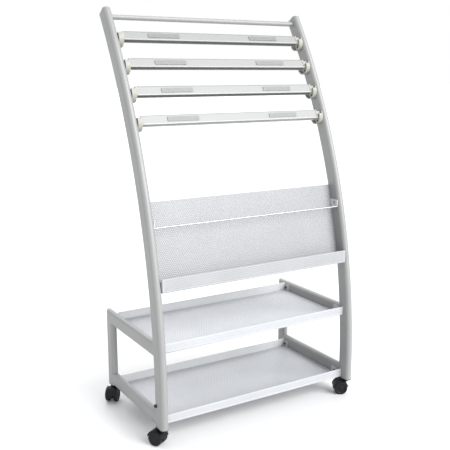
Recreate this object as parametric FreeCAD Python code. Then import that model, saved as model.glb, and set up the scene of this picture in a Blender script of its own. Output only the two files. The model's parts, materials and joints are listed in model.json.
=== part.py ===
"""Newspaper and magazine rack on four casters.

Millimetres, +Z up, front towards -Y. The origin is on the floor, at the centre of the rack's outline.
"""
import FreeCAD, Part
import math
import os

os.makedirs("parts", exist_ok=True)

# ---- driving dimensions -------------------------------------------------------------------------
post_spacing = 620.0          # between the centre lines of the left and right side frames
base_depth = 325.0            # from the posts' foot to the rear legs, centre to centre
post_width = 22.0             # flat-oval post tube, across the rack
post_depth = 45.0             # flat-oval post tube, front to rear
rail_width = 20.0             # flat-oval tube of the rear legs and rails
rail_height = 40.0
tube_wall = 1.5
arc_start_z = 97.0            # the post is straight below this height
arc_radius = 1890.0           # radius of the post's centre line above it
arc_angle = 32.7              # degrees of lean at the top of the post
upper_rail_z = 258.0          # centre of the upper rail
top_bar_diameter = 14.0
top_bar_drop = 17.0           # from the post's top end down to the bar, along the post

sheet = 1.5                   # thickness of the perforated sheets
side_gap = 0.5                # between a sheet's edge and the post's inner side
shelf_front = 5.0             # front edge of both shelves, behind the posts' foot centre line
shelf_depth = 299.0
shelf_lip = 26.0              # lip height with the sheet's thickness
mid_shelf_z = 249.0           # underside of the shelves
bottom_shelf_z = 51.5
tab_front = 27.0              # front end of the front tabs, behind the posts' foot centre line
tab_length = 24.0
tab_height = 22.0
tab_screw_rise = 10.0         # from the shelf's underside to the screw
front_tab_screw = 36.0        # screws behind the posts' foot centre line
rear_tab_screw = 296.0
shelf_screw_radius = 2.4
shelf_screw_head_radius = 3.5
shelf_screw_head_height = 2.4
mid_shelf_wing = 299.6        # half width of the shelves behind the posts, up to the rails
bottom_shelf_wing = 301.6
wing_front = 24.0             # where the wings start, behind the posts' foot centre line
wing_drop = 0.3               # wings lie this much lower than the shelf's floor

panel_bottom_z = 411.0        # underside of the panel's trough
panel_top_z = 633.0
panel_setback = 10.0          # panel behind the post's centre line, square to the post
panel_side_gap = 0.3          # between the panel's side edge and the post's inner side
trough_front = 5.0            # outer face of the front lip, behind the posts' foot centre line
trough_lip = 37.0
ear_z = 581.0                 # centre of the upper screw ears
ear_height = 22.0
ear_front = 47.0              # front end of the upper ears, behind the posts' foot centre line
low_ear_z = 429.0
low_ear_front = 9.0
ear_screw_inset = 14.0        # from an ear's front end
rod_diameter = 4.0
small_screw_radius = 1.9
small_screw_head_radius = 3.4
small_screw_head_height = 2.2

clamp_count = 4
clamp_pitch = 80.0            # along the post's arc
top_clamp_arc = 996.5         # from the start of the arc to the top clamp
clamp_height = 25.0
clamp_depth = 13.0
clamp_forward = 8.5           # centre of the clamp in front of the post's centre line
clamp_length = 570.0          # over the end caps
end_cap_length = 5.0
clamp_wall = 1.4
label_recess = 0.8            # the clamp's front face lies this far behind its rims
lower_rim = 3.0
hinge_pin_radius = 1.25
hinge_pin_inset = 3.4         # hinge pin in front of the clamp's rear face
hinge_pin_rise = 5.0          # above the clamp's centre
jaw_gap = 0.3                 # between the jaw's toe and the bead
jaw_rise = 1.0                # underside of the jaw's toe above the underside of the clamp
jaw_lip_drop = 2.5            # finger lip at the jaw's rear, below the underside of the clamp
jaw_plate = 1.6
jaw_barrel_radius = 2.6

cradle_half_width = 22.0
cradle_thickness = 13.0
cradle_base = 3.0
cradle_wall = 3.0
cradle_round_drop = 4.0       # centre of the rounded bottom below the clamp's centre
cradle_back_rise = 5.5        # top of the cradle's back plate above the clamp's centre
cradle_wall_rise = -1.0       # top of its walls and ribs
cradle_screw_y = 8.5
cradle_screw_rises = (-14.0, 0.5)
tongue_length = 9.0
tongue_gap = 0.4

caster_height = 49.0
wheel_radius = 20.0
wheel_width = 12.3
wheel_spread = 5.7            # from the caster's middle plane to the wheel's inner face
caster_trail = 14.0           # wheel axle behind the stem
front_left_swivel = 30.0      # resting angle of each caster, anticlockwise from straight back
front_right_swivel = 60.0
rear_left_swivel = 140.0
rear_right_swivel = -140.0
hood_gap = 1.0                # between the wheel's tread and the hood
hood_wall = 2.0
hood_half = 16.7              # half the hood's width
hood_edge_rise = 4.0          # lower edge of the hood above the axle
stem_radius = 3.5
axle_radius = 3.0
running_gap = 0.05

post_bolt_radius = 3.0
post_bolt_head_radius = 4.8
post_bolt_head_height = 5.0
post_bolt_y = 10.0            # behind the post's centre line
post_bolt_z = 109.0
# --------------------------------------------------------------------------------------------------

half_spacing = post_spacing / 2
post_inner_x = half_spacing - post_width / 2
rail_inner_x = half_spacing - rail_width / 2
wheel_outer_x = wheel_spread + wheel_width
hood_radius = wheel_radius + hood_gap + hood_wall
rear_overhang = rail_height / 2
front_y = -(base_depth + rear_overhang - post_depth / 2) / 2
rear_y = front_y + base_depth
lower_rail_z = caster_height + rail_height / 2
leg_top_z = upper_rail_z + rail_height / 2

X = FreeCAD.Vector(1, 0, 0)
Y = FreeCAD.Vector(0, 1, 0)
Z = FreeCAD.Vector(0, 0, 1)


def vec(x, y, z):
    return FreeCAD.Vector(x, y, z)


def save(name, *solids):
    """Write one node. Several solids become a compound of separate solids."""
    shape = solids[0] if len(solids) == 1 else Part.makeCompound(list(solids))
    shape.exportStep("parts/" + name + ".step")


def box(x0, x1, y0, y1, z0, z1):
    return Part.makeBox(x1 - x0, y1 - y0, z1 - z0, vec(x0, y0, z0))


def rod(radius, start, end):
    direction = end - start
    return Part.makeCylinder(radius, direction.Length, start, direction)


def fused(first, *others):
    return first.fuse(list(others)).removeSplitter()


def polygon_prism(points, x0, x1):
    """Extrude an outline of (y, z) points from x0 to x1."""
    wire = Part.makePolygon([vec(x0, y, z) for y, z in points + points[:1]])
    return Part.Face(wire).extrude(vec(x1 - x0, 0, 0))


def mirrored(shape):
    """The same piece on the other side of the rack."""
    return shape.mirror(vec(0, 0, 0), X)


# ---- flat-oval tube ------------------------------------------------------------------------------
def oval_wire(width, length, z=0.0):
    """Flat-oval outline in the XY plane, long along Y."""
    r = width / 2
    straight = length / 2 - r
    left = Part.LineSegment(vec(-r, -straight, z), vec(-r, straight, z))
    right = Part.LineSegment(vec(r, straight, z), vec(r, -straight, z))
    back = Part.Arc(vec(-r, straight, z), vec(0, straight + r, z), vec(r, straight, z))
    front = Part.Arc(vec(r, -straight, z), vec(0, -straight - r, z), vec(-r, -straight, z))
    return Part.Wire([edge.toShape() for edge in (left, back, right, front)])


def oval_face(width, length, wall, z=0.0):
    """Cross-section of the tube, or of a solid bar when wall is 0."""
    outer = Part.Face(oval_wire(width, length, z))
    if wall == 0:
        return outer
    inner = Part.Face(oval_wire(width - 2 * wall, length - 2 * wall, z))
    return outer.cut(inner)


def oval_bar(width, length, height, wall=0.0):
    """Upright flat-oval tube or bar standing on Z = 0."""
    return oval_face(width, length, wall).extrude(vec(0, 0, height))


# ---- places along the post -----------------------------------------------------------------------
def post_point(angle):
    """Point on the post's centre line where it leans by angle degrees."""
    a = math.radians(angle)
    y = front_y + arc_radius * (1 - math.cos(a))
    z = arc_start_z + arc_radius * math.sin(a)
    return vec(0, y, z)


def angle_at_height(z):
    return math.degrees(math.asin((z - arc_start_z) / arc_radius))


def post_y(z):
    return post_point(angle_at_height(z)).y


def on_post(shape, angle):
    """Put a shape made about the origin on the post, leaning with it."""
    placed = shape.copy()
    lean = FreeCAD.Placement(post_point(angle), FreeCAD.Rotation(X, -angle))
    placed.Placement = lean.multiply(placed.Placement)
    return placed


def clamp_angle(index):
    """Lean of the post at clamp 0 (the top one), 1, 2 and 3."""
    return math.degrees((top_clamp_arc - index * clamp_pitch) / arc_radius)


# ---- frame ---------------------------------------------------------------------------------------
def post_solid(wall):
    foot = oval_bar(post_width, post_depth, arc_start_z - caster_height, wall)
    foot.translate(vec(half_spacing, front_y, caster_height))
    section = oval_face(post_width, post_depth, wall)
    section.translate(vec(half_spacing, front_y, arc_start_z))
    hinge_line = vec(0, front_y + arc_radius, arc_start_z)
    bend = section.revolve(hinge_line, X, -arc_angle)
    return fused(foot, bend)


def leg_solid(wall):
    leg = oval_bar(rail_width, rail_height, leg_top_z - caster_height, wall)
    leg.translate(vec(half_spacing, rear_y, caster_height))
    return leg


def rail_solid(centre_z, y_end, wall):
    """Rail from the post's centre line to y_end, long side upright."""
    rail = oval_bar(rail_width, rail_height, y_end - front_y, wall)
    rail.rotate(vec(0, 0, 0), X, -90)
    rail.translate(vec(half_spacing, front_y, centre_z))
    return rail


def mitre_tool():
    """Room of the upper rail, ending in the 45 degree cut of the top rear corner."""
    low = leg_top_z - rail_height
    low_corner = (rear_y - rail_height / 2, low)
    high_corner = (rear_y + rail_height / 2, leg_top_z)
    outline = [(front_y, low), low_corner, high_corner, (front_y, leg_top_z)]
    return polygon_prism(outline, half_spacing - rail_width, half_spacing + rail_width)


def rail_end_profile(wall):
    """Upper rail run right through to the rear face of the leg."""
    return rail_solid(upper_rail_z, rear_y + rail_height / 2, wall)


def shelf_screw_places():
    """Screw points (y, z) in the rails, for both shelves."""
    places = []
    for z in (mid_shelf_z, bottom_shelf_z):
        for screw in (front_tab_screw, rear_tab_screw):
            places.append((front_y + screw, z + tab_screw_rise))
    return places


def panel_screw_places():
    """Screw points (y, z) in the posts for the panel's ears."""
    upper = (front_y + ear_front + ear_screw_inset, ear_z + 3.0)
    lower = (front_y + low_ear_front + ear_screw_inset, low_ear_z)
    return [upper, lower]


def wall_hole(radius, inner_x, y, z):
    """Screw hole across the tube wall whose inner side lies at inner_x."""
    return rod(radius, vec(inner_x - 5, y, z), vec(inner_x + 6, y, z))


def cradle_screw_holes():
    """Two screw holes per cradle, above each other, in the post's own leaning frame."""
    holes = []
    for index in range(clamp_count):
        for rise in cradle_screw_rises:
            hole = wall_hole(small_screw_radius, post_inner_x, cradle_screw_y, rise)
            holes.append(on_post(hole, clamp_angle(index)))
    return holes


def make_frame():
    post_outer = post_solid(0)
    post_core = post_outer.cut(post_solid(tube_wall))
    leg_outer = leg_solid(0)
    panel_holes = [wall_hole(small_screw_radius, post_inner_x, y, z) for y, z in panel_screw_places()]
    bolt_place = vec(half_spacing, front_y + post_bolt_y, post_bolt_z)
    bolt_hole = rod(post_bolt_radius, bolt_place, bolt_place + vec(post_width, 0, 0))
    post = post_outer.cut([post_core, bolt_hole] + cradle_screw_holes() + panel_holes)

    rail_holes = [wall_hole(shelf_screw_radius, rail_inner_x, y, z) for y, z in shelf_screw_places()]
    corner = mitre_tool()
    upper_rail = rail_end_profile(tube_wall).common(corner).cut([post_outer] + rail_holes)
    lower_rail = rail_solid(lower_rail_z, rear_y, tube_wall).cut([post_outer, leg_outer] + rail_holes)
    leg = leg_solid(tube_wall).cut(corner)

    tubes = {"post": post, "rear_leg": leg, "upper_rail": upper_rail, "lower_rail": lower_rail}
    for name, shape in tubes.items():
        save("right_" + name, shape)
        save("left_" + name, mirrored(shape))


def make_post_caps():
    plate_height = 3.0
    plug_height = 9.0
    bore_gap = 0.2
    plate = oval_bar(post_width, post_depth, plate_height)
    top_edges = [edge for edge in plate.Edges if edge.BoundBox.ZMin > plate_height - 0.1]
    plate = plate.makeFillet(1.8, top_edges)
    bore_width = post_width - 2 * tube_wall - bore_gap
    bore_depth = post_depth - 2 * tube_wall - bore_gap
    plug = oval_bar(bore_width, bore_depth, plug_height)
    plug.translate(vec(0, 0, -plug_height))
    cap = fused(plate, plug)
    cap.translate(vec(half_spacing, 0, 0))
    cap = on_post(cap, arc_angle)
    save("post_caps", cap, mirrored(cap))


def make_top_bar():
    angle = arc_angle - math.degrees(top_bar_drop / arc_radius)
    bar = rod(top_bar_diameter / 2, vec(-post_inner_x, 0, 0), vec(post_inner_x, 0, 0))
    bore = rod(top_bar_diameter / 2 - tube_wall, vec(-post_inner_x, 0, 0), vec(post_inner_x, 0, 0))
    save("top_bar", on_post(bar.cut(bore), angle))


def make_post_bolts():
    """One bolt on each post's outer side, just above the lower rail."""
    seat = vec(half_spacing + post_width / 2, front_y + post_bolt_y, post_bolt_z)
    head_end = seat + vec(post_bolt_head_height, 0, 0)
    shank = rod(post_bolt_radius, seat - vec(4.0, 0, 0), seat)
    head = rod(post_bolt_head_radius, seat, head_end)
    rim = [edge for edge in head.Edges if edge.BoundBox.XMin > head_end.x - 0.1]
    head = head.makeFillet(1.2, rim)
    key = rod(post_bolt_head_radius * 0.45, head_end - vec(2.5, 0, 0), head_end)
    bolt = fused(shank, head).cut(key)
    save("post_bolts", bolt, mirrored(bolt))


# ---- shelves -------------------------------------------------------------------------------------
def shelf_tab(y0, z):
    """Turned-up tab on the right-hand edge, with its screw hole left to the caller."""
    upright = box(rail_inner_x - sheet, rail_inner_x, y0, y0 + tab_length, z, z + tab_height)
    foot = box(post_inner_x - side_gap - 2 * sheet, rail_inner_x, y0, y0 + tab_length, z, z + sheet)
    return fused(upright, foot)


def make_shelf(name, z, wing):
    """Tray with a lip at the front and rear, notched round the posts, its wings reaching the rails."""
    y0 = front_y + shelf_front
    y1 = y0 + shelf_depth
    half = post_inner_x - side_gap
    floor = box(-half, half, y0, y1, z, z + sheet)
    right_wing = box(half, wing, front_y + wing_front, y1, z - wing_drop, z + sheet - wing_drop)
    front_lip = box(-half, half, y0, y0 + sheet, z, z + shelf_lip)
    rear_lip = box(-half, half, y1 - sheet, y1, z, z + shelf_lip)
    tabs = []
    for start in (front_y + tab_front, y1 - tab_length):
        tab = shelf_tab(start, z)
        tabs += [tab, mirrored(tab)]
    holes = [rod(shelf_screw_radius, vec(-half_spacing, y, hole_z), vec(half_spacing, y, hole_z))
             for y, hole_z in shelf_screw_places()]
    save(name, fused(floor, right_wing, mirrored(right_wing), front_lip, rear_lip, *tabs).cut(holes))


def pan_screw(head_radius, head_height, shank_radius, length):
    """Screw with its head's underside at the origin, shank along +X."""
    shank = rod(shank_radius, vec(0, 0, 0), vec(length, 0, 0))
    head = rod(head_radius, vec(-head_height, 0, 0), vec(0, 0, 0))
    rim = [edge for edge in head.Edges if edge.BoundBox.XMax < -head_height / 2]
    head = head.makeFillet(head_height * 0.45, rim)
    socket = rod(head_radius * 0.38, vec(-head_height, 0, 0), vec(-head_height * 0.45, 0, 0))
    return fused(shank, head).cut(socket)


def make_shelf_screws():
    screws = []
    for y, z in shelf_screw_places():
        screw = pan_screw(shelf_screw_head_radius, shelf_screw_head_height, shelf_screw_radius, 5.0)
        screw.translate(vec(rail_inner_x - sheet, y, z))
        screws += [screw, mirrored(screw)]
    save("shelf_screws", *screws)


# ---- display panel -------------------------------------------------------------------------------
def panel_line():
    """Bottom and top (y, z) of the back sheet's front face, on a straight line behind the posts."""
    ends = []
    for z in (panel_bottom_z, panel_top_z):
        lean = math.radians(angle_at_height(z))
        ends.append((post_y(z) + panel_setback / math.cos(lean), z))
    return ends


def panel_face_y(z):
    (y0, z0), (y1, z1) = panel_line()
    return y0 + (y1 - y0) * (z - z0) / (z1 - z0)


def panel_outline():
    """Side view of the bent sheet: back sheet, trough floor and front lip."""
    (y0, z0), (y1, z1) = panel_line()
    lean = math.atan2(y1 - y0, z1 - z0)
    back = sheet / math.cos(lean)
    lip = front_y + trough_front
    return [(lip, z0), (y0 + back, z0), (y1 + back, z1), (y1, z1), (panel_face_y(z0 + sheet), z0 + sheet),
            (lip + sheet, z0 + sheet), (lip + sheet, z0 + trough_lip), (lip, z0 + trough_lip)]


def panel_ear(front, centre_z):
    """Ear bent forward from the sheet's right edge, flat against the post."""
    low = centre_z - ear_height / 2
    high = centre_z + ear_height / 2
    overlap = 0.7
    low_rear = (panel_face_y(low) + overlap, low)
    high_rear = (panel_face_y(high) + overlap, high)
    outline = [(front, low), low_rear, high_rear, (front, high)]
    return polygon_prism(outline, post_inner_x - sheet, post_inner_x)


def make_display_panel():
    half = post_inner_x - panel_side_gap
    body = polygon_prism(panel_outline(), -half, half)
    ears = []
    bridges = []
    for front, centre_z in ((front_y + ear_front, ear_z), (front_y + low_ear_front, low_ear_z)):
        ear = panel_ear(front, centre_z)
        low = centre_z - ear_height / 2
        high = centre_z + ear_height / 2
        sheet_strip = [(panel_face_y(low), low), (panel_face_y(low) + sheet, low),
                       (panel_face_y(high) + sheet, high), (panel_face_y(high), high)]
        bridge = polygon_prism(sheet_strip, half - 1.0, post_inner_x)
        ears += [ear, mirrored(ear)]
        bridges += [bridge, mirrored(bridge)]
    holes = [rod(small_screw_radius, vec(-half_spacing, y, z), vec(half_spacing, y, z))
             for y, z in panel_screw_places()]
    save("display_panel", fused(body, *ears, *bridges).cut(holes))


def make_retaining_rod():
    """Rod between the upper ears, along their lower front corners."""
    half = post_inner_x - sheet
    y = front_y + ear_front + rod_diameter / 2
    z = ear_z - ear_height / 2 + rod_diameter / 2
    save("retaining_rod", rod(rod_diameter / 2, vec(-half, y, z), vec(half, y, z)))


def make_small_screws():
    """Screws of the panel's ears and of the cradles."""
    screws = []
    for y, z in panel_screw_places():
        screw = pan_screw(small_screw_head_radius, small_screw_head_height, small_screw_radius, 5.0)
        screw.translate(vec(post_inner_x - sheet, y, z))
        screws += [screw, mirrored(screw)]
    for index in range(clamp_count):
        for rise in cradle_screw_rises:
            screw = pan_screw(small_screw_head_radius, small_screw_head_height, small_screw_radius, 6.0)
            screw.translate(vec(post_inner_x - cradle_base, cradle_screw_y, rise))
            screw = on_post(screw, clamp_angle(index))
            screws += [screw, mirrored(screw)]
    save("small_screws", *screws)


# ---- cradles -------------------------------------------------------------------------------------
def cradle_outline(margin):
    """Rounded cup outline in the post's side view, shrunk by margin."""
    half = cradle_half_width - margin
    top = cradle_back_rise if margin == 0 else cradle_back_rise + 20
    centre = -cradle_round_drop
    sides = [Part.LineSegment(vec(0, half, centre), vec(0, half, top)),
             Part.LineSegment(vec(0, half, top), vec(0, -half, top)),
             Part.LineSegment(vec(0, -half, top), vec(0, -half, centre))]
    bottom = Part.Arc(vec(0, -half, centre), vec(0, 0, centre - half), vec(0, half, centre))
    return Part.Face(Part.Wire([part.toShape() for part in sides + [bottom]]))


def tongue_slot():
    """Front, rear and bottom of the slot that takes the clamp's tongue."""
    front = -(clamp_forward + clamp_depth / 2 + tongue_gap)
    rear = -(clamp_forward - clamp_depth / 2 - tongue_gap)
    bottom = -clamp_height / 2 - 0.2
    return front, rear, bottom


def make_cradle():
    """Cup on the right-hand post, open towards the clamp, with two ribs that hold the tongue."""
    outer_x = post_inner_x
    inner_x = post_inner_x - cradle_thickness
    body = cradle_outline(0).extrude(vec(cradle_thickness, 0, 0))
    recess = cradle_outline(cradle_wall).extrude(vec(cradle_thickness - cradle_base, 0, 0))
    body.translate(vec(inner_x, 0, 0))
    recess.translate(vec(inner_x, 0, 0))
    cup = body.cut(recess)

    front, rear, bottom = tongue_slot()
    ribs = [box(inner_x, outer_x, front - cradle_wall, front, -40, cradle_back_rise),
            box(inner_x, outer_x, rear, rear + cradle_wall, -40, cradle_back_rise),
            box(inner_x, outer_x, front, rear, bottom - cradle_wall, bottom)]
    rib_block = ribs[0].fuse(ribs[1:]).common(body)
    cup = fused(cup, rib_block)
    reach = cradle_half_width + 1.0
    above_walls = box(inner_x, outer_x - cradle_base, -reach, reach, cradle_wall_rise, cradle_back_rise)
    holes = [wall_hole(small_screw_radius, outer_x, cradle_screw_y, rise) for rise in cradle_screw_rises]
    return cup.cut([above_walls] + holes)


def make_cradles():
    cradle = make_cradle()
    right = [on_post(cradle, clamp_angle(index)) for index in range(clamp_count)]
    save("right_cradles", *right)
    save("left_cradles", *[mirrored(shape) for shape in right])


# ---- newspaper clamps ----------------------------------------------------------------------------
clamp_front_y = -clamp_forward - clamp_depth / 2
clamp_rear_y = -clamp_forward + clamp_depth / 2
channel_half = clamp_length / 2 - end_cap_length
bead_depth = label_recess + clamp_wall
hinge_y = clamp_rear_y - hinge_pin_inset
hinge_z = hinge_pin_rise


def clamp_channel():
    """C profile: recessed label face, top, short rear flange, and a bead as the lower rim."""
    top = clamp_height / 2
    half = channel_half
    face_y = clamp_front_y + label_recess
    face = box(-half, half, face_y, face_y + clamp_wall, -top, top)
    roof = box(-half, half, clamp_front_y, clamp_rear_y, top - clamp_wall, top)
    flange = box(-half, half, clamp_rear_y - clamp_wall, clamp_rear_y, top - 3.5, top)
    bead = box(-half, half, clamp_front_y, clamp_front_y + bead_depth, -top, -top + lower_rim)
    profile = fused(face, roof, flange, bead)
    long_edges = [edge for edge in profile.Edges if edge.BoundBox.XLength > half]
    front_edges = [edge for edge in long_edges if edge.BoundBox.YMax < clamp_front_y + 0.01]
    return profile.makeFillet(0.6, front_edges)


def clamp_jaw():
    """Strip hung on the hinge pin, with a toe reaching forward to the bead and a finger lip below."""
    half = channel_half - 1.0
    low = -clamp_height / 2 + jaw_rise
    lip_low = -clamp_height / 2 - jaw_lip_drop
    toe_front = clamp_front_y + bead_depth + jaw_gap
    barrel = rod(jaw_barrel_radius, vec(-half, hinge_y, hinge_z), vec(half, hinge_y, hinge_z))
    plate = box(-half, half, clamp_rear_y - jaw_plate, clamp_rear_y, lip_low, hinge_z)
    link = box(-half, half, hinge_y, clamp_rear_y, hinge_z - jaw_barrel_radius, hinge_z)
    toe = box(-half, half, toe_front, clamp_rear_y, low, low + jaw_plate)
    bore = rod(hinge_pin_radius + running_gap, vec(-half, hinge_y, hinge_z), vec(half, hinge_y, hinge_z))
    return fused(barrel, plate, link, toe).cut(bore)


def clamp_pin():
    half = channel_half + 6.0
    return rod(hinge_pin_radius, vec(-half, hinge_y, hinge_z), vec(half, hinge_y, hinge_z))


def clamp_end_cap():
    """Right-hand cap with the tongue that drops into the cradle."""
    x0 = channel_half
    x1 = clamp_length / 2
    half_height = clamp_height / 2
    block = box(x0, x1, clamp_front_y, clamp_rear_y, -half_height, half_height)
    block = block.makeFillet(1.5, [edge for edge in block.Edges if edge.BoundBox.XMin > x1 - 0.01])
    tongue_top = 8.0
    tongue = box(x1 - 1.5, x1 + tongue_length, clamp_front_y, clamp_rear_y, -half_height, tongue_top)
    long_edges = [edge for edge in tongue.Edges if edge.BoundBox.XLength > tongue_length]
    tongue = tongue.makeFillet(2.0, [edge for edge in long_edges if edge.BoundBox.ZMax < 0])
    pin_hole = rod(hinge_pin_radius, vec(x0, hinge_y, hinge_z), vec(x0 + 6.0, hinge_y, hinge_z))
    return fused(block, tongue).cut(pin_hole)


def make_clamps():
    cap = clamp_end_cap()
    for index in range(clamp_count):
        name = "clamp_" + str(index + 1)
        angle = clamp_angle(index)
        save(name + "_channel", on_post(clamp_channel(), angle))
        save(name + "_jaw", on_post(clamp_jaw(), angle))
        save(name + "_hinge_pin", on_post(clamp_pin(), angle))
        save(name + "_end_caps", on_post(cap, angle), on_post(mirrored(cap), angle))


# ---- casters -------------------------------------------------------------------------------------
web_half = wheel_spread - 0.7
collar_top = caster_height - 2.3
collar_height = 2.5
stem_foot_z = wheel_radius - 2


def caster_housing():
    """Hood over both wheels, with a middle web that carries the stem and the axle."""
    reach = 2 * hood_radius
    axle_end = vec(-hood_half, caster_trail, wheel_radius)
    disc = Part.makeCylinder(hood_radius, 2 * hood_half, axle_end, X)
    hollow = Part.makeCylinder(hood_radius - hood_wall, 2 * hood_half, axle_end, X)
    above_edge = box(-reach, reach, -reach, reach, wheel_radius + hood_edge_rise, reach + wheel_radius)
    shell = disc.cut(hollow).common(above_edge)
    web_end = vec(-web_half, caster_trail, wheel_radius)
    web = Part.makeCylinder(hood_radius - hood_wall / 2, 2 * web_half, web_end, X)
    web = web.common(box(-reach, reach, -reach, reach, wheel_radius - 6, reach + wheel_radius))
    boss = rod(web_half, vec(0, 0, wheel_radius - 5), vec(0, 0, collar_top - collar_height))
    crown = rod(9.0, vec(0, 0, 2 * wheel_radius - 1.4), vec(0, 0, collar_top - collar_height))
    housing = fused(shell, web, boss, crown)
    stem_bore = rod(stem_radius, vec(0, 0, stem_foot_z), vec(0, 0, reach))
    axle_bore = caster_axle(reach)
    return housing.cut([stem_bore, axle_bore])


def caster_stem():
    pin = rod(stem_radius, vec(0, 0, stem_foot_z), vec(0, 0, caster_height + 26))
    collar = rod(8.0, vec(0, 0, collar_top - collar_height), vec(0, 0, collar_top))
    return fused(pin, collar)


def caster_axle(reach):
    return rod(axle_radius, vec(-reach, caster_trail, wheel_radius), vec(reach, caster_trail, wheel_radius))


def caster_wheel():
    """Wheel on the +X side: rounded tread, dished outer face, blind bore."""
    x0 = wheel_spread
    x1 = wheel_outer_x
    r = wheel_radius
    soft = 3.0
    bore = axle_radius + running_gap
    arc_dip = soft * (1 - math.sqrt(0.5))
    inner_side = Part.makeLine(vec(x0, 0, bore), vec(x0, 0, r - soft))
    inner_edge = Part.Arc(vec(x0, 0, r - soft), vec(x0 + arc_dip, 0, r - arc_dip), vec(x0 + soft, 0, r))
    tread = Part.makeLine(vec(x0 + soft, 0, r), vec(x1 - soft, 0, r))
    outer_edge = Part.Arc(vec(x1 - soft, 0, r), vec(x1 - arc_dip, 0, r - arc_dip), vec(x1, 0, r - soft))
    dish_floor = x1 - 2
    hub_face = x1 - 1
    bore_end = x1 - 3
    points = [vec(x1, 0, r - soft), vec(x1, 0, r - 5), vec(dish_floor, 0, r - 7), vec(dish_floor, 0, 7),
              vec(hub_face, 0, 5.5), vec(hub_face, 0, 0), vec(bore_end, 0, 0), vec(bore_end, 0, bore),
              vec(x0, 0, bore)]
    outer_side = [Part.makeLine(a, b) for a, b in zip(points, points[1:])]
    edges = [inner_side, inner_edge.toShape(), tread, outer_edge.toShape()] + outer_side
    profile = Part.Face(Part.Wire(edges))
    wheel = profile.revolve(vec(0, 0, 0), X, 360)
    wheel.translate(vec(0, caster_trail, wheel_radius))
    return wheel


def caster_socket(width, length):
    """Plastic insert: flange under the tube and a plug up inside it, bored for the stem."""
    flange = oval_bar(width, length, 2.0)
    flange.translate(vec(0, 0, -2.0))
    plug = oval_bar(width - 2 * tube_wall, length - 2 * tube_wall, 30.0)
    bore = rod(stem_radius + running_gap, vec(0, 0, -2.0), vec(0, 0, 28.0))
    return fused(flange, plug).cut(bore)


def make_casters():
    sockets = []
    places = (("front_left", -1, front_y, front_left_swivel, post_width, post_depth),
              ("front_right", 1, front_y, front_right_swivel, post_width, post_depth),
              ("rear_left", -1, rear_y, rear_left_swivel, rail_width, rail_height),
              ("rear_right", 1, rear_y, rear_right_swivel, rail_width, rail_height))
    for name, side, y, swivel, width, length in places:
        stem_foot = vec(side * half_spacing, y, 0)
        right_wheel = caster_wheel()
        left_wheel = mirrored(right_wheel)
        outer_wheel, inner_wheel = (right_wheel, left_wheel) if side > 0 else (left_wheel, right_wheel)
        pieces = {"stem": caster_stem(), "housing": caster_housing(),
                  "axle": caster_axle(wheel_outer_x - 3.5),
                  "outer_wheel": outer_wheel, "inner_wheel": inner_wheel}
        for piece, shape in pieces.items():
            shape.rotate(vec(0, 0, 0), Z, swivel)
            shape.translate(stem_foot)
            save("caster_" + name + "_" + piece, shape)
        socket = caster_socket(width, length)
        socket.translate(stem_foot + vec(0, 0, caster_height))
        sockets.append(socket)
    save("caster_sockets", *sockets)


make_frame()
make_post_caps()
make_top_bar()
make_post_bolts()
make_shelf("mid_shelf", mid_shelf_z, mid_shelf_wing)
make_shelf("bottom_shelf", bottom_shelf_z, bottom_shelf_wing)
make_shelf_screws()
make_display_panel()
make_retaining_rod()
make_small_screws()
make_cradles()
make_clamps()
make_casters()
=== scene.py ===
"""Looks of the newspaper rack, in metres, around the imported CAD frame."""
import json
import math

import bmesh
import bpy
from mathutils import Matrix, Vector


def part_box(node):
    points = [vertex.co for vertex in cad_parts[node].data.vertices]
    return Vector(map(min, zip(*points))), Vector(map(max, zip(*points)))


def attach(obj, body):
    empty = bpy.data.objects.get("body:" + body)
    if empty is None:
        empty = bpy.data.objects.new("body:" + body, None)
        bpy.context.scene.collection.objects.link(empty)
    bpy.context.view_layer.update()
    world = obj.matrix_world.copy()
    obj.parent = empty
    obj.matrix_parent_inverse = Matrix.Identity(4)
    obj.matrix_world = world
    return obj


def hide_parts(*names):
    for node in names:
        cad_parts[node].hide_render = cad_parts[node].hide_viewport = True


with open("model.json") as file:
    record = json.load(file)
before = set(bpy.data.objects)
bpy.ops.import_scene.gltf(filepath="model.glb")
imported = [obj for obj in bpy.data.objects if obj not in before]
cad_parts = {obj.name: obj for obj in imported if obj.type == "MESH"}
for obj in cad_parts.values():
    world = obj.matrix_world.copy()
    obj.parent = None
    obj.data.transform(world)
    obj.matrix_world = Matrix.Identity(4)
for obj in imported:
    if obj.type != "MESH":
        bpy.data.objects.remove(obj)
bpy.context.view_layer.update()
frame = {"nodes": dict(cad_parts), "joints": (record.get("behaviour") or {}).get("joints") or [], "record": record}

nodes = frame["nodes"]

# ---- sizes ---------------------------------------------------------------------------------------
SHEET = 0.0015                # thickness of the perforated sheets
BEND_RADIUS = 0.002           # middle radius of their bends
TAB_BEND_RADIUS = 0.0015      # and of those of the tabs and ears
HOLE_PITCH = 0.0055           # staggered holes, centre to centre
HOLE_RADIUS = 0.0012
BORDER = 0.004                # solid edge around each perforated field
BEND_STEPS = 5                # faces across each bend
CORNER_RADIUS = 0.004         # rounded corners of the tabs and ears
CORNER_STEPS = 6              # edges around each of them
WELD_DISTANCE = 0.00002       # points of one sheet nearer than this are joined
SHELF_HALF = 0.2985           # half width of the shelves between the posts
SHELF_WINGS = {"mid_shelf": 0.2996, "bottom_shelf": 0.3016}    # and behind the posts
WING_FRONT = 0.019            # from a shelf's front edge to where its wings start
WING_DROP = 0.0003            # wings lie this much lower than the shelf's floor
TAB_OUTER = 0.300             # outer faces of the screw tabs
TAB_LENGTH = 0.024
TAB_HEIGHT = 0.022
TAB_OVERLAP = 0.003           # tabs start this far inside the floor's side edge
FRONT_TAB = 0.022             # from the shelf's front edge to the front tabs
PANEL_LEAN = 0.2325           # the back sheet runs this far back for each metre up
PANEL_LIP = 0.037
EAR_INSET = 0.0003            # the panel's side edge, inside its ears' outer faces
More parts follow.
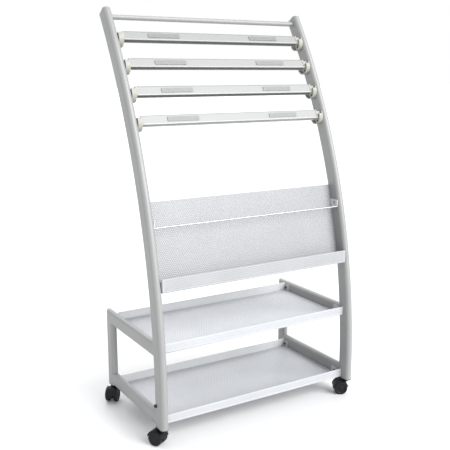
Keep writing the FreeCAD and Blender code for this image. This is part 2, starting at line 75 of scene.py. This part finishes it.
EAR_OVERLAP = 0.002           # ears start this far inside the panel's side edge
EARS = ((0.042, 0.159, 0.181), (0.004, 0.007, 0.029))    # front, low and high ends, from the lip's foot

CAMERA_PLACE = (-1.0717, -1.5782, 0.9604)    # from the floor point midway between the posts' feet
CAMERA_TURN = (78.06, 0.0, -31.16)
CAMERA_LENS = 57.9
CAMERA_SENSOR = 36.0
SUN_ANGLE = 50.0              # how wide each lamp looks, in degrees
FLOOR_HALF = 40.0
FLOOR_DARK = (0.71, 0.71, 0.71)
FLOOR_LIGHT = (0.73, 0.73, 0.73)

CLAMPS = (1, 2, 3, 4)         # from the top down
LABELS = ((-0.1637, 0.095), (0.1596, 0.096))    # middle and length of each clamp's label pads
LABEL_HEIGHT = 0.0125
LABEL_THICKNESS = 0.0005
LABEL_CORNER = 0.002
LABEL_CORNER_STEPS = 4
LABEL_BEVEL = 0.0002
LABEL_DROP = 0.0118           # from the clamp's top to the middle of the pads
RIM_HIGHLIGHT_HEIGHT = 0.0036           # height of the painted highlight along the lower edge of each clamp
JAW_BACK = 0.0008             # pale rear layer of each jaw; on all but the lowest jaw the darker rest is painted shade
TONE_BLEND = 0.0001           # two tones of one part blend this far to each side of their border

NOISE_LOW = 0.3               # most values of the noise lie between these
NOISE_HIGH = 0.7
MIX_FACTOR = 0                # sockets of a Mix node that mixes colours
MIX_FIRST = 6
MIX_SECOND = 7
MIX_RESULT = 2


# ---- objects -------------------------------------------------------------------------------------
def link_object(name, data):
    """New object in the scene for a mesh, lamp or camera."""
    made = bpy.data.objects.new(name, data)
    bpy.context.scene.collection.objects.link(made)
    return made


def object_from(name, mesh):
    """New object in the scene that holds an edited mesh."""
    data = bpy.data.meshes.new(name)
    mesh.to_mesh(data)
    mesh.free()
    return link_object(name, data)


def joint_named(name):
    """One of the frame's joints."""
    return next(joint for joint in frame["joints"] if joint["name"] == name)


# ---- materials -----------------------------------------------------------------------------------
def new_material(name, colour, roughness, metallic=0.0):
    """Principled material whose uniform values sit on the shader's own sockets."""
    material = bpy.data.materials.new(name)
    material.use_nodes = True
    shader = material.node_tree.nodes["Principled BSDF"]
    shader.inputs["Base Color"].default_value = (*colour, 1.0)
    shader.inputs["Roughness"].default_value = roughness
    shader.inputs["Metallic"].default_value = metallic
    return material, shader


def add_noise(material, scale, detail, stretch=(1.0, 1.0, 1.0)):
    """Noise over the object's own coordinates, stretched along its axes."""
    tree = material.node_tree
    place = tree.nodes.new("ShaderNodeTexCoord")
    mapping = tree.nodes.new("ShaderNodeMapping")
    mapping.inputs["Scale"].default_value = stretch
    noise = tree.nodes.new("ShaderNodeTexNoise")
    noise.inputs["Scale"].default_value = scale
    noise.inputs["Detail"].default_value = detail
    tree.links.new(place.outputs["Object"], mapping.inputs["Vector"])
    tree.links.new(mapping.outputs["Vector"], noise.inputs["Vector"])
    return noise.outputs["Fac"]


def vary_colour(material, shader, factor, dark, light):
    """Blend the base colour between two tones."""
    ramp = material.node_tree.nodes.new("ShaderNodeValToRGB")
    low, high = ramp.color_ramp.elements
    low.position = NOISE_LOW
    low.color = (*dark, 1.0)
    high.position = NOISE_HIGH
    high.color = (*light, 1.0)
    material.node_tree.links.new(factor, ramp.inputs["Fac"])
    material.node_tree.links.new(ramp.outputs["Color"], shader.inputs["Base Color"])


def vary_roughness(material, shader, factor, low, high):
    """Spread the roughness between two values."""
    spread = material.node_tree.nodes.new("ShaderNodeMapRange")
    spread.inputs["From Min"].default_value = NOISE_LOW
    spread.inputs["From Max"].default_value = NOISE_HIGH
    spread.inputs["To Min"].default_value = low
    spread.inputs["To Max"].default_value = high
    material.node_tree.links.new(factor, spread.inputs["Value"])
    material.node_tree.links.new(spread.outputs["Result"], shader.inputs["Roughness"])


def add_bump(material, shader, height, depth, strength):
    """Fine relief, depth metres deep."""
    bump = material.node_tree.nodes.new("ShaderNodeBump")
    bump.inputs["Distance"].default_value = depth
    bump.inputs["Strength"].default_value = strength
    material.node_tree.links.new(height, bump.inputs["Height"])
    material.node_tree.links.new(bump.outputs["Normal"], shader.inputs["Normal"])


def scaled(colour, factor):
    """Lighter or darker colour."""
    return tuple(min(1.0, part * factor) for part in colour)


def powder_coat(name, colour, roughness, metallic):
    """Sprayed coat: orange peel, faint cloudiness."""
    material, shader = new_material(name, colour, roughness, metallic)
    cloud = add_noise(material, 9.0, 4.0)
    vary_colour(material, shader, cloud, scaled(colour, 0.96), scaled(colour, 1.03))
    grain = add_noise(material, 420.0, 2.0)
    vary_roughness(material, shader, grain, roughness - 0.05, roughness + 0.06)
    add_bump(material, shader, grain, 0.00012, 0.5)
    return material


def extruded_aluminium(name, colour, roughness, metallic):
    """Anodised extrusion with fine die lines along X."""
    material, shader = new_material(name, colour, roughness, metallic)
    lines = add_noise(material, 60.0, 3.0, (0.08, 40.0, 40.0))
    vary_colour(material, shader, lines, scaled(colour, 0.95), scaled(colour, 1.02))
    vary_roughness(material, shader, lines, roughness - 0.05, roughness + 0.08)
    add_bump(material, shader, lines, 0.00004, 0.5)
    return material


def moulded_plastic(name, colour, roughness, grain_depth=0.00006, shine=0.5):
    """Faintly mottled plastic with a fine moulded grain."""
    material, shader = new_material(name, colour, roughness)
    shader.inputs["Specular IOR Level"].default_value = shine
    cloud = add_noise(material, 60.0, 3.0)
    vary_colour(material, shader, cloud, scaled(colour, 0.93), scaled(colour, 1.05))
    grain = add_noise(material, 1500.0, 2.0)
    vary_roughness(material, shader, grain, roughness - 0.06, roughness + 0.06)
    add_bump(material, shader, grain, grain_depth, 0.6)
    return material


def plated_steel(name, colour, roughness):
    """Plated metal with fine spangles of tone and gloss."""
    material, shader = new_material(name, colour, roughness, 1.0)
    cloud = add_noise(material, 300.0, 4.0)
    vary_colour(material, shader, cloud, scaled(colour, 0.85), scaled(colour, 1.08))
    vary_roughness(material, shader, cloud, roughness - 0.06, roughness + 0.1)
    add_bump(material, shader, cloud, 0.00003, 0.5)
    return material


MATERIALS = {
    "painted_frame": powder_coat("silver grey powder coat", (0.27, 0.272, 0.269), 0.42, 0.1),
    "painted_sheet": powder_coat("pale sheet powder coat", (0.44, 0.452, 0.470), 0.45, 0.0),
    "clamp_aluminium": extruded_aluminium("anodised aluminium", (0.25, 0.253, 0.251), 0.42, 0.2),
    "cream_plastic": moulded_plastic("cream plastic", (0.31, 0.309, 0.275), 0.45),
    "grey_plastic": moulded_plastic("pale grey plastic", (0.60, 0.61, 0.62), 0.45),
    "dark_plastic": moulded_plastic("dark grey plastic", (0.125, 0.125, 0.123), 0.5),
    "black_plastic": moulded_plastic("black plastic", (0.007, 0.007, 0.0075), 0.42, shine=0.22),
    "black_tyre": moulded_plastic("black wheel", (0.009, 0.009, 0.0095), 0.5,
                                  grain_depth=0.0001, shine=0.22),
    "bright_steel": plated_steel("bright steel", (0.45, 0.457, 0.463), 0.3),
    "zinc_steel": plated_steel("zinc plated steel", (0.42, 0.43, 0.44), 0.36),
    "dark_steel": plated_steel("blackened steel", (0.07, 0.07, 0.075), 0.42),
}
# the jaws' own pale grey, kept on their backs; their darker front and underside are painted shade
JAW_BACK_COLOUR = (0.36, 0.36, 0.355)
# lighter copy of the sheet coat: painted light on the shelves' shaded rear lips
REAR_LIP_LIGHT_COAT = powder_coat("shelf rear lip powder coat", (0.57, 0.58, 0.59), 0.45, 0.0)
# darker copies of the sheet coat: painted shade on the panel's back sheet and, less dark, on its lip
PANEL_SHADE_COAT = powder_coat("panel back coat, painted shade", (0.282, 0.288, 0.298), 0.45, 0.0)
PANEL_LIP_SHADE_COAT = powder_coat("panel lip coat, painted shade", (0.37, 0.378, 0.385), 0.45, 0.0)
# lighter copy of the sheet coat: painted light on the panel's shaded ears
EAR_LIGHT_COAT = powder_coat("panel ear coat, painted light", (0.60, 0.61, 0.62), 0.45, 0.0)
# the lowest jaw all in that pale grey: painted light on its underside, where the other jaws carry painted shade
LIT_LOWEST_JAW = moulded_plastic("pale grey jaw, painted light", JAW_BACK_COLOUR, 0.5)
LABEL = moulded_plastic("label pad", (0.175, 0.178, 0.18), 0.35)
# lighter than the clamp's aluminium: painted highlight along the channel's rounded lower edge
RIM_HIGHLIGHT_COLOUR = (0.34, 0.344, 0.34)


def dress_node(node, material):
    """Give a CAD node one material."""
    mesh = nodes[node].data
    mesh.materials.clear()
    mesh.materials.append(material)


def dress_frame():
    """Give every CAD node the finish of its slot in the record. The lowest jaw is a paler grey, painted light on
    its underside, where the other jaws carry painted shade.
    """
    for entry in frame["record"]["subparts"]:
        dress_node(entry["node"], MATERIALS[entry["material_slot"]])
    dress_node("clamp_%d_jaw" % CLAMPS[-1], LIT_LOWEST_JAW)


# ---- bent perforated sheet -----------------------------------------------------------------------
def rounded_path(corners, radius):
    """Straight stretches and bends through the corners: (start, direction, length, turn) each."""
    path = []
    cursor = Vector(corners[0])
    for before, corner, after in zip(corners, corners[1:], corners[2:]):
        corner = Vector(corner)
        inward = (corner - Vector(before)).normalized()
        outward = (Vector(after) - corner).normalized()
        turn = math.atan2(inward.x * outward.y - inward.y * outward.x, inward.dot(outward))
        cut = radius * math.tan(abs(turn) / 2)
        bend_start = corner - inward * cut
        path.append((cursor, (bend_start - cursor).normalized(), (bend_start - cursor).length, 0.0))
        path.append((bend_start, inward, radius * abs(turn), turn))
        cursor = corner + outward * cut
    last = Vector(corners[-1]) - cursor
    path.append((cursor, last.normalized(), last.length, 0.0))
    return path


def place_on_stretch(stretch, distance):
    """Point at a distance along one stretch of a rounded path, on its straight line or its arc."""
    start, direction, length, turn = stretch
    if turn == 0.0:
        return start + direction * distance
    curvature = turn / length
    angle = curvature * distance
    left = Vector((-direction.y, direction.x))
    ahead = math.sin(angle) / curvature
    aside = (1 - math.cos(angle)) / curvature
    return start + direction * ahead + left * aside


def hexagon(centre_u, centre_v):
    """Corners of one hole, anticlockwise from 30 degrees."""
    corners = []
    for number in range(6):
        angle = math.radians(30 + 60 * number)
        u = centre_u + HOLE_RADIUS * math.cos(angle)
        v = centre_v + HOLE_RADIUS * math.sin(angle)
        corners.append((u, v))
    return corners


def add_perforated_field(flat, width, length):
    """Flat sheet with staggered holes inside a solid border: u runs across it and v along it."""
    row_pitch = HOLE_PITCH * math.sqrt(3) / 2
    columns = int((width - 2 * BORDER - 2 * HOLE_RADIUS) / HOLE_PITCH) + 1
    rows = int((length - 2 * BORDER - 2 * HOLE_RADIUS) / row_pitch) + 1
    first_u = -(columns - 1) * HOLE_PITCH / 2
    first_v = (length - (rows - 1) * row_pitch) / 2
    holes = {}
    rim_edges = set()
    for row in range(rows):
        shift = 0.5 * (row % 2)
        for column in range(columns - row % 2):
            centre_u = first_u + (column + shift) * HOLE_PITCH
            centre_v = first_v + row * row_pitch
            corners = [flat.verts.new((u, v, 0)) for u, v in hexagon(centre_u, centre_v)]
            holes[row, column] = corners
            for a, b in zip(corners, corners[1:] + corners[:1]):
                rim_edges.add(flat.edges.new((a, b)))

    # the sheet between each hole and its neighbours to the right and in the next row
    faces = []
    for (row, column), a in holes.items():
        right = holes.get((row, column + 1))
        up_right = holes.get((row + 1, column + row % 2))
        up_left = holes.get((row + 1, column + row % 2 - 1))
        if right:
            faces.append((a[5], right[3], right[2], a[0]))
        if up_right:
            faces.append((a[0], up_right[4], up_right[3], a[1]))
        if up_left:
            faces.append((a[1], up_left[5], up_left[4], a[2]))
        if right and up_right:
            faces.append((a[0], right[2], up_right[4]))
        if up_left and up_right:
            faces.append((a[1], up_right[3], up_left[5]))
    for corners in faces:
        flat.faces.new(corners)

    # the border, between the field's open edges and the sheet's own
    sheet_corners = ((-width / 2, 0), (width / 2, 0), (width / 2, length), (-width / 2, length))
    edge_corners = [flat.verts.new((u, v, 0)) for u, v in sheet_corners]
    outline = [flat.edges.new(pair) for pair in zip(edge_corners, edge_corners[1:] + edge_corners[:1])]
    for edge in flat.edges:
        open_rim = edge in rim_edges and len(edge.link_faces) == 0
        open_side = edge not in rim_edges and len(edge.link_faces) == 1
        if open_rim or open_side:
            outline.append(edge)
    bmesh.ops.triangle_fill(flat, edges=outline, use_beauty=True, normal=(0, 0, 1))


def perforated_sheet(width, corners):
    """Middle surface of a sheet bent through corners, perforated on every straight stretch.

    The path runs in the YZ plane and the sheet's width along X.
    """
    sheet_mesh = bmesh.new()
    for stretch in rounded_path(corners, BEND_RADIUS):
        length, turn = stretch[2:]
        flat = bmesh.new()
        if turn == 0.0:
            add_perforated_field(flat, width, length)
            smooth = False
        else:
            add_bend_strip(flat, width, length)
            smooth = True
        for vert in flat.verts:
            place = place_on_stretch(stretch, vert.co.y)
            vert.co = Vector((vert.co.x, place.x, place.y))
        for face in flat.faces:
            face.smooth = smooth
        piece = bpy.data.meshes.new("stretch")
        flat.to_mesh(piece)
        flat.free()
        sheet_mesh.from_mesh(piece)
        bpy.data.meshes.remove(piece)
    bmesh.ops.remove_doubles(sheet_mesh, verts=sheet_mesh.verts, dist=WELD_DISTANCE)
    return sheet_mesh


def add_bend_strip(flat, width, length):
    """Plain strip in rows, which then follows a bend."""
    rows = []
    for step in range(BEND_STEPS + 1):
        v = length * step / BEND_STEPS
        rows.append((flat.verts.new((-width / 2, v, 0)), flat.verts.new((width / 2, v, 0))))
    for low, high in zip(rows, rows[1:]):
        flat.faces.new((low[0], low[1], high[1], high[0]))


def add_rounded_plate(mesh, corner_a, corner_b, free_a, free_b):
    """Flat plate from a fixed edge (corner_a, corner_b) to a free end with two rounded corners."""
    outline = [corner_a, corner_b]
    for corner, toward, away in ((free_b, corner_b, free_a), (free_a, free_b, corner_a)):
        first = (toward - corner).normalized() * CORNER_RADIUS
        second = (away - corner).normalized() * CORNER_RADIUS
        centre = corner + first + second
        for step in range(CORNER_STEPS + 1):
            angle = math.pi / 2 * step / CORNER_STEPS
            outline.append(centre - second * math.cos(angle) - first * math.sin(angle))
    mesh.faces.new([mesh.verts.new(point) for point in outline])


def add_tab(mesh, path, y0, y1, side):
    """Screw tab turned up from a shelf's side edge. The path runs in the XZ plane."""
    overlap, bend, upright = path
    ends = [overlap[0]]
    for step in range(BEND_STEPS + 1):
        ends.append(place_on_stretch(bend, bend[2] * step / BEND_STEPS))
    rows = [[mesh.verts.new((side * p.x, y, p.y)) for y in (y0, y1)] for p in ends]
    for low, high in zip(rows, rows[1:]):
        face = mesh.faces.new((low[0], low[1], high[1], high[0]))
        face.smooth = True
    foot = ends[-1]
    top = place_on_stretch(upright, upright[2])
    add_rounded_plate(mesh, Vector((side * foot.x, y0, foot.y)), Vector((side * foot.x, y1, foot.y)),
                      Vector((side * top.x, y0, top.y)), Vector((side * top.x, y1, top.y)))


def finish_sheet(name, mesh, node, coats):
    """Turn a middle surface into a solid sheet that stands for a CAD node."""
    bmesh.ops.remove_doubles(mesh, verts=mesh.verts, dist=WELD_DISTANCE)
    sheet_object = object_from(name, mesh)
    for coat in coats:
        sheet_object.data.materials.append(coat)
    solid = sheet_object.modifiers.new("thickness", "SOLIDIFY")
    solid.thickness = SHEET
    solid.offset = 0.0
    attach(sheet_object, "frame")
    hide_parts(node)


def add_wing(mesh, x0, x1, y0, y1, z):
    """Plain strip beside the shelf's perforated floor."""
    corners = ((x0, y0, z), (x1, y0, z), (x1, y1, z), (x0, y1, z))
    mesh.faces.new([mesh.verts.new(corner) for corner in corners])


def make_shelf(node):
    """Tray with lips at the front and rear, wings beside the rails and a screw tab near each corner."""
    low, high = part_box(node)
    inset = SHEET / 2
    floor_z = low.z + WING_DROP + inset
    front = low.y + inset
    rear = high.y - inset
    corners = [(rear, high.z), (rear, floor_z), (front, floor_z), (front, high.z)]
    mesh = perforated_sheet(2 * SHELF_HALF, corners)
    wing_start = low.y + WING_FRONT
    wing_end = rear - BEND_RADIUS
    for side in (-1, 1):
        inner = side * SHELF_HALF
        outer = side * SHELF_WINGS[node]
        add_wing(mesh, inner, outer, wing_start, wing_end, floor_z - WING_DROP)
    tab_x = TAB_OUTER - inset
    tab_top = low.z + WING_DROP + TAB_HEIGHT
    tab_start = SHELF_HALF - TAB_OVERLAP
    tab_path = rounded_path([(tab_start, floor_z), (tab_x, floor_z), (tab_x, tab_top)], TAB_BEND_RADIUS)
    for y0 in (low.y + FRONT_TAB, high.y - TAB_LENGTH):
        for side in (-1, 1):
            add_tab(mesh, tab_path, y0, y0 + TAB_LENGTH, side)
    # coat 1 is on the rear lip, and coat 0 on the rest; coat 1 is a lighter copy of the sheet coat, painted light
    # on the shaded rear lip
    for face in mesh.faces:
        is_rear_lip = face.calc_center_median().y > rear - inset
        face.material_index = 1 if is_rear_lip else 0
    finish_sheet(node + "_sheet", mesh, node, [MATERIALS["painted_sheet"], REAR_LIP_LIGHT_COAT])


def make_panel():
    """Leaning back sheet, trough with an upturned lip, and an ear at each side near its top and foot."""
    low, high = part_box("display_panel")
    foot_y = high.y - (high.z - low.z) * PANEL_LEAN
    inset = SHEET / 2
    slope = Vector((PANEL_LEAN, 1.0)).normalized()
    back_inset = inset / slope.y
    floor_z = low.z + inset
    top = (high.y - back_inset, high.z)
    corner = (foot_y - back_inset + inset * PANEL_LEAN, floor_z)
    corners = [top, corner, (low.y + inset, floor_z), (low.y + inset, low.z + PANEL_LIP)]
    mesh = perforated_sheet(2 * (high.x - EAR_INSET), corners)
    for ear_front, ear_low, ear_high in EARS:
        for side in (-1, 1):
            add_ear(mesh, corner, low.y + ear_front, low.z + ear_low, low.z + ear_high, side, high.x)
    # coat 2 is on the ears, coat 1 on the lip, and coat 0 on the rest: a lighter copy of the sheet coat as painted
    # light on the ears, and darker copies as painted shade on the lip and, darker still, on the rest
    for face in mesh.faces:
        centre = face.calc_center_median()
        if abs(centre.x) > high.x - SHEET:
            face.material_index = 2
        elif centre.y < low.y + 2 * SHEET:
            face.material_index = 1
    finish_sheet("display_panel_sheet", mesh, "display_panel", [PANEL_SHADE_COAT, PANEL_LIP_SHADE_COAT, EAR_LIGHT_COAT])


def add_ear(mesh, corner, front, z0, z1, side, outer_x):
    """Ear bent forward from the panel's side edge, flat against the post."""
    ear_x = outer_x - SHEET / 2
    edge_x = outer_x - EAR_INSET - EAR_OVERLAP
    rows = []
    for z in (z0, z1):
        y = corner[0] + (z - corner[1]) * PANEL_LEAN
        path = rounded_path([(edge_x, y), (ear_x, y), (ear_x, front)], TAB_BEND_RADIUS)
        overlap, bend = path[:2]
        ends = [overlap[0]]
        for step in range(BEND_STEPS + 1):
            ends.append(place_on_stretch(bend, bend[2] * step / BEND_STEPS))
        rows.append([Vector((side * p.x, p.y, z)) for p in ends])
    low_row, high_row = ([mesh.verts.new(p) for p in row] for row in rows)
    for a, b, c, d in zip(low_row, low_row[1:], high_row[1:], high_row):
        face = mesh.faces.new((a, b, c, d))
        face.smooth = True
    add_rounded_plate(mesh, rows[0][-1], rows[1][-1], Vector((side * ear_x, front, z0)),
                      Vector((side * ear_x, front, z1)))


# ---- newspaper clamps ----------------------------------------------------------------------------
def clamp_axes(index):
    """Upward and forward directions of a clamp, from its lift joint."""
    up = Vector(joint_named("clamp_%d_lift" % index)["axis"]).normalized()
    forward = Vector((0.0, -up.z, up.y))
    return up, forward


def two_tone(material, direction, edge, colour):
    """Change the base colour of all that lies less than edge metres along a direction."""
    tree = material.node_tree
    shader = tree.nodes["Principled BSDF"]
    plain = shader.inputs["Base Color"].links[0].from_socket
    place = tree.nodes.new("ShaderNodeTexCoord")
    height = tree.nodes.new("ShaderNodeVectorMath")
    height.operation = "DOT_PRODUCT"
    height.inputs[1].default_value = direction
    band = tree.nodes.new("ShaderNodeMapRange")
    band.inputs["From Min"].default_value = edge + TONE_BLEND
    band.inputs["From Max"].default_value = edge - TONE_BLEND
    mix = tree.nodes.new("ShaderNodeMix")
    mix.data_type = "RGBA"
    mix.inputs[MIX_SECOND].default_value = (*colour, 1.0)
    tree.links.new(place.outputs["Object"], height.inputs[0])
    tree.links.new(height.outputs["Value"], band.inputs["Value"])
    tree.links.new(band.outputs["Result"], mix.inputs[MIX_FACTOR])
    tree.links.new(plain, mix.inputs[MIX_FIRST])
    tree.links.new(mix.outputs[MIX_RESULT], shader.inputs["Base Color"])


def finish_clamps():
    """Painted highlight along the lower edge of each clamp's channel, and a pale back on each jaw, whose darker
    rest is painted shade.
    """
    for index in CLAMPS:
        up, forward = clamp_axes(index)
        # the channel's band is a painted highlight along its lower edge
        for part, direction, depth, colour in (("channel", up, RIM_HIGHLIGHT_HEIGHT, RIM_HIGHLIGHT_COLOUR),
                                               # the jaw's band is its pale back, and the darker rest of the jaw is
                                               # painted shade
                                               ("jaw", forward, JAW_BACK, JAW_BACK_COLOUR)):
            node = "clamp_%d_%s" % (index, part)
            mesh = nodes[node].data
            low = min(vert.co.dot(direction) for vert in mesh.vertices)
            material = mesh.materials[0].copy()
            material.name = "%s, clamp %d" % (mesh.materials[0].name, index)
            two_tone(material, direction, low + depth, colour)
            dress_node(node, material)


def make_labels():
    """Two plain label pads on the front face of each clamp."""
    for index in CLAMPS:
        up, forward = clamp_axes(index)
        points = [vert.co for vert in nodes["clamp_%d_channel" % index].data.vertices]
        front = max(p.dot(forward) for p in points)
        top = max(p.dot(up) for p in points)
        for number, (place, length) in enumerate(LABELS):
            centre = Vector((place, 0, 0)) + forward * front + up * (top - LABEL_DROP)
            name = "clamp_%d_label_%d" % (index, number + 1)
            label = label_pad(name, length)
            turn = axes_matrix(Vector((1, 0, 0)), up, -forward)
            label.matrix_world = Matrix.Translation(centre) @ turn
            label.data.materials.append(LABEL)
            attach(label, "clamp_%d" % index)


def axes_matrix(along, up, back):
    """Rotation that turns X to along, Y to back and Z to up."""
    return Matrix((along, back, up)).transposed().to_4x4()


def label_pad(name, length):
    """Thin plate in the XZ plane, its front towards -Y, with rounded corners and softened edges."""
    mesh = bmesh.new()
    outline = []
    centre_x = length / 2 - LABEL_CORNER
    centre_z = LABEL_HEIGHT / 2 - LABEL_CORNER
    for sign_x, sign_z, start in ((1, 1, 0), (-1, 1, 90), (-1, -1, 180), (1, -1, 270)):
        for step in range(LABEL_CORNER_STEPS + 1):
            angle = math.radians(start + 90 * step / LABEL_CORNER_STEPS)
            x = sign_x * centre_x + LABEL_CORNER * math.cos(angle)
            z = sign_z * centre_z + LABEL_CORNER * math.sin(angle)
            outline.append(mesh.verts.new((x, 0, z)))
    base = mesh.faces.new(outline)
    made = bmesh.ops.extrude_face_region(mesh, geom=[base])["geom"]
    front = [item for item in made if isinstance(item, bmesh.types.BMVert)]
    bmesh.ops.translate(mesh, verts=front, vec=(0, -LABEL_THICKNESS, 0))
    rim = [edge for edge in mesh.edges if all(vert.co.y < -LABEL_THICKNESS / 2 for vert in edge.verts)]
    bmesh.ops.bevel(mesh, geom=rim, offset=LABEL_BEVEL, segments=2, affect="EDGES")
    bmesh.ops.recalc_face_normals(mesh, faces=mesh.faces)
    return object_from(name, mesh)


# ---- stage ---------------------------------------------------------------------------------------
def make_floor():
    """Pale, faintly uneven floor."""
    material, shader = new_material("studio floor", FLOOR_LIGHT, 0.6)
    cloud = add_noise(material, 0.8, 2.0)
    vary_colour(material, shader, cloud, FLOOR_DARK, FLOOR_LIGHT)
    mesh = bmesh.new()
    corners = [(x * FLOOR_HALF, y * FLOOR_HALF, 0) for x, y in ((-1, -1), (1, -1), (1, 1), (-1, 1))]
    mesh.faces.new([mesh.verts.new(corner) for corner in corners])
    floor = object_from("floor", mesh)
    floor.data.materials.append(material)


def make_world():
    """White backdrop for the camera, and even light with a slightly cool tone for the object."""
    world = bpy.data.worlds.new("studio")
    bpy.context.scene.world = world
    world.use_nodes = True
    tree = world.node_tree
    backdrop = tree.nodes["Background"]
    backdrop.inputs["Color"].default_value = (1.0, 1.0, 1.0, 1.0)
    backdrop.inputs["Strength"].default_value = 1.0
    ambient = tree.nodes.new("ShaderNodeBackground")
    ambient.inputs["Color"].default_value = (0.97, 0.98, 1.0, 1.0)
    ambient.inputs["Strength"].default_value = 1.0
    ray = tree.nodes.new("ShaderNodeLightPath")
    choose = tree.nodes.new("ShaderNodeMixShader")
    tree.links.new(ray.outputs["Is Camera Ray"], choose.inputs[0])
    tree.links.new(ambient.outputs[0], choose.inputs[1])
    tree.links.new(backdrop.outputs[0], choose.inputs[2])
    tree.links.new(choose.outputs[0], tree.nodes["World Output"].inputs["Surface"])


def add_sun(name, source, strength):
    """Distant soft lamp that shines from the given direction."""
    data = bpy.data.lights.new(name, "SUN")
    data.energy = strength
    data.angle = math.radians(SUN_ANGLE)
    lamp = link_object(name, data)
    lamp.rotation_euler = Vector(source).to_track_quat("Z", "Y").to_euler()


def make_camera():
    """Camera placed from the posts' feet, which stand over the front casters' swivels."""
    data = bpy.data.cameras.new("camera")
    data.lens = CAMERA_LENS
    data.sensor_width = CAMERA_SENSOR
    camera = link_object("camera", data)
    foot_y = joint_named("caster_front_left_swivel")["pos_m"][1]
    camera.location = Vector(CAMERA_PLACE) + Vector((0, foot_y, 0))
    camera.rotation_euler = [math.radians(angle) for angle in CAMERA_TURN]
    bpy.context.scene.camera = camera


dress_frame()
make_shelf("mid_shelf")
make_shelf("bottom_shelf")
make_panel()
finish_clamps()
make_labels()
make_floor()
make_world()
add_sun("key", source=(0.5, -1.0, 0.7), strength=3.9)
add_sun("back", source=(0.2, 1.0, 1.0), strength=1.2)
make_camera()
bpy.context.scene.view_settings.view_transform = "Standard"

bpy.context.view_layer.update()
